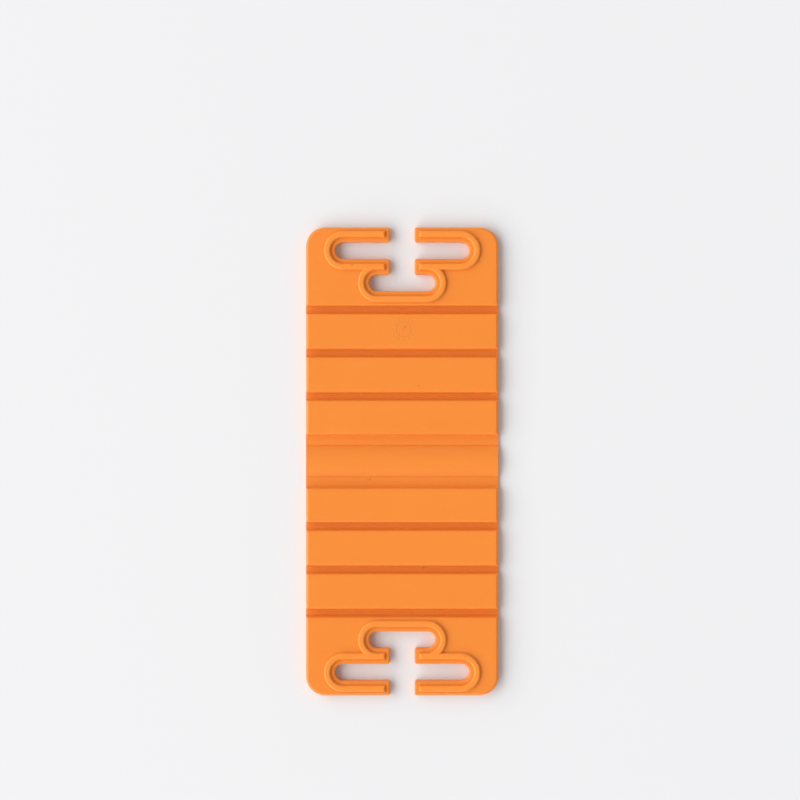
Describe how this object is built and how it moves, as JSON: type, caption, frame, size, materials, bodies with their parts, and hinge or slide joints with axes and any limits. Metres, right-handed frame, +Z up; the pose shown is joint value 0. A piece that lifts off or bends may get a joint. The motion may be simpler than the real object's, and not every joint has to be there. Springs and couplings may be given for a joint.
{
  "type": "strapping corner protector",
  "caption": "Flat flexible plastic strip that folds along moulded cross grooves over a load's corner and guides a strap through beaded T-shaped slots at both ends.",
  "frame": {"origin": "middle of the plain back face, on the surface that the strip lies on", "axes": "+X across the strip, +Y along it, +Z up out of the strap side with the grooves and beads"},
  "size_m": [0.0762, 0.185, 0.0052],
  "materials": {
    "orange_plastic": "satin moulded polyolefin, orange all through"
  },
  "bodies": {
    "root": {"corner_protector": "orange_plastic"}
  },
  "joints": []
}
